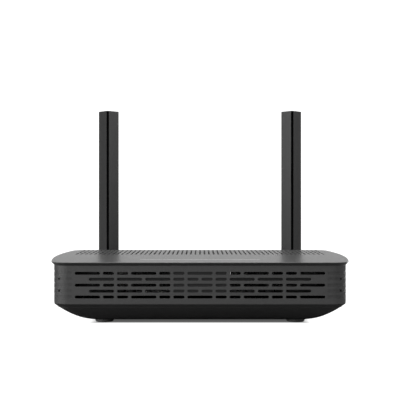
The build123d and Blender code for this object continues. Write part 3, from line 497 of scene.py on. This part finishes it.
class SpringRows(Network):
    """A tree that stands a row of arched spring strips at every point it is given."""

    def __init__(self):
        super().__init__(bpy.data.node_groups.new("spring_rows", "GeometryNodeTree"))
        sockets = self.tree.interface
        sockets.new_socket("Places", in_out="INPUT", socket_type="NodeSocketGeometry")
        sockets.new_socket("Count", in_out="INPUT", socket_type="NodeSocketInt")
        for size in ("Pitch", "Width", "Thickness", "Reach", "Rise"):
            sockets.new_socket(size, in_out="INPUT", socket_type="NodeSocketFloat")
        sockets.new_socket("Finish", in_out="INPUT", socket_type="NodeSocketMaterial")
        sockets.new_socket("Rows", in_out="OUTPUT", socket_type="NodeSocketGeometry")
        self.make_rows(self.make_strip())

    def given(self, name):
        """One of the tree's own inputs."""
        return self.node("NodeGroupInput", out=name)

    def make_strip(self):
        """One strip, arched along its reach."""
        end = self.node("ShaderNodeCombineXYZ", Y=self.given("Reach"))
        path = self.node("GeometryNodeCurvePrimitiveLine", End=end)
        path = self.node("GeometryNodeResampleCurve", Curve=path, Count=path_points)
        along = self.node("GeometryNodeSplineParameter")
        arch = along * (1.0 - along) * 4.0 * self.given("Rise")
        lift = self.node("ShaderNodeCombineXYZ", Z=arch)
        path = self.node("GeometryNodeSetPosition", Geometry=path, Offset=lift)
        path = self.node("GeometryNodeSetCurveNormal", {"mode": "Z_UP"}, Curve=path)
        section = self.node(
            "GeometryNodeCurvePrimitiveQuadrilateral",
            Width=self.given("Width"),
            Height=self.given("Thickness"),
        )
        return self.node(
            "GeometryNodeCurveToMesh", Curve=path, Profile_Curve=section, Fill_Caps=True
        )

    def make_rows(self, strip):
        """A centred row of strips at each place, in the finish."""
        count, pitch = self.given("Count"), self.given("Pitch")
        first = self.node("ShaderNodeCombineXYZ", X=(count - 1.0) * pitch * -0.5)
        step = self.node("ShaderNodeCombineXYZ", X=pitch)
        line = self.node("GeometryNodeMeshLine", Count=count, Start_Location=first, Offset=step)
        row = self.node("GeometryNodeInstanceOnPoints", Points=line, Instance=strip)
        rows = self.node(
            "GeometryNodeInstanceOnPoints", Points=self.given("Places"), Instance=row
        )
        rows = self.node("GeometryNodeRealizeInstances", Geometry=rows)
        rows = self.node(
            "GeometryNodeSetMaterial", Geometry=rows, Material=self.given("Finish")
        )
        self.node("NodeGroupOutput", Rows=rows)

    def grow(self, name, places, sizes):
        """Grows the rows at the places into one plain mesh."""
        mesh = bpy.data.meshes.new(name + "_places")
        mesh.from_pydata(places, [], [])
        piece = bpy.data.objects.new(name, mesh)
        bpy.context.scene.collection.objects.link(piece)
        modifier = piece.modifiers.new("rows", "NODES")
        modifier.node_group = self.tree
        for item in self.tree.interface.items_tree:
            if item.name in sizes:
                modifier[item.identifier] = sizes[item.name]
        graph = bpy.context.evaluated_depsgraph_get()
        grown = bpy.data.meshes.new_from_object(piece.evaluated_get(graph))
        piece.modifiers.remove(modifier)
        piece.data = grown
        return piece


def make_contacts():
    """Arched springs along the floors of the jacks, in the frame's own gold."""
    rows = SpringRows()
    for node, (ports, count) in jack_contacts.items():
        low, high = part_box(node)
        middle = (low[0] + high[0]) / 2
        places = [
            (middle + (i - (ports - 1) / 2) * port_pitch, low[1], low[2] + contact_thickness / 2)
            for i in range(ports)
        ]
        sizes = {
            "Count": count,
            "Pitch": contact_pitch,
            "Width": contact_width,
            "Thickness": contact_thickness,
            "Reach": high[1] - low[1],
            "Rise": high[2] - low[2] - contact_thickness,
            "Finish": bpy.data.materials["gold_brass"],
        }
        springs = rows.grow(node.replace("contacts", "springs"), places, sizes)
        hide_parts(node)
        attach(springs, "casing")


# ---- floor -------------------------------------------------------------
floor_half = 6.0
floor_bounce = 0.35
lit_glow = 1.2
painted_shadow_glow = 0.10
shadow_softness = 0.004


def camera_only(finish, seen, otherwise):
    """Shows one shader to the camera and lights the object with the other."""
    camera_ray = finish.node("ShaderNodeLightPath", out="Is Camera Ray")
    return finish.node("ShaderNodeMixShader", slots={0: camera_ray, 1: otherwise, 2: seen})


def glow_with_painted_shadow(finish):
    """Painted shadow on the floor: white beside the base and dark under it."""
    outside = finish.beyond(*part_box("rubber_feet"))
    return finish.spread(outside, -shadow_softness, shadow_softness, painted_shadow_glow, lit_glow)


def floor_paper():
    """Pale paper, white to the camera with a painted shadow under the base, and duller to the
    object.
    """
    finish = Finish("floor_paper")
    fibre = finish.noise(40.0)
    finish.set(
        Base_Color=finish.tint(fibre, grey(floor_bounce * 0.98), grey(floor_bounce * 1.02)),
        Roughness=0.9,
    )
    # The glow carries a painted shadow under the base.
    glow = finish.node("ShaderNodeEmission", Strength=glow_with_painted_shadow(finish))
    finish.show(camera_only(finish, glow, finish.shader))
    return finish.material


def make_floor():
    """A plain pale floor, far wider than the object."""
    mesh = bpy.data.meshes.new("floor")
    corners = [(-1, -1), (1, -1), (1, 1), (-1, 1)]
    mesh.from_pydata([(x * floor_half, y * floor_half, 0) for x, y in corners], [], [range(4)])
    floor = bpy.data.objects.new("floor", mesh)
    bpy.context.scene.collection.objects.link(floor)
    mesh.materials.append(floor_paper())


# ---- light -------------------------------------------------------------
room_glow = 0.06
room_white = 1.6
light_target = (0.0, 0.0, 0.03)
# Each softbox's place and size in metres, and its power in watts.
softboxes = {
    "overhead": ((0.0, -0.25, 1.2), (1.2, 0.9), 9.0),
    "backdrop": ((0.0, 1.6, 0.3), (1.4, 0.6), 2.5),
    "front_fill": ((-0.35, -1.5, 1.15), (1.2, 0.6), 13.0),
    "left_softbox": ((-1.19, -0.43, 0.35), (0.5, 0.6), 5.4),
    "corner_softbox": ((-0.85, -0.95, 0.35), (0.4, 0.6), 3.6),
    "right_softbox": ((1.2, -0.12, 0.35), (0.4, 0.6), 1.4),
    "right_rear_softbox": ((0.85, 0.8, 0.35), (0.4, 0.6), 3.5),
}


def make_softbox(name, place, size, power):
    """A soft rectangular light that faces the object."""
    data = bpy.data.lights.new(name, "AREA")
    data.shape = "RECTANGLE"
    data.size, data.size_y = size
    data.energy = power
    light = bpy.data.objects.new(name, data)
    light.location = place
    light.visible_camera = False
    aim = Vector(light_target) - Vector(place)
    light.rotation_euler = aim.to_track_quat("-Z", "Y").to_euler()
    bpy.context.scene.collection.objects.link(light)


def make_room():
    """A dim room that is white to the camera."""
    world = bpy.data.worlds.new("studio")
    world.use_nodes = True
    room = Network(world.node_tree)
    room.tree.nodes.clear()
    camera_ray = room.node("ShaderNodeLightPath", out="Is Camera Ray")
    strength = room.spread(camera_ray, 0.0, 1.0, room_glow, room_white)
    background = room.node("ShaderNodeBackground", Strength=strength)
    room.node("ShaderNodeOutputWorld", Surface=background)
    bpy.context.scene.world = world


make_camera()
dress()
make_contacts()
make_floor()
make_room()
for name, softbox in softboxes.items():
    make_softbox(name, *softbox)
bpy.context.scene.view_settings.view_transform = "Standard"
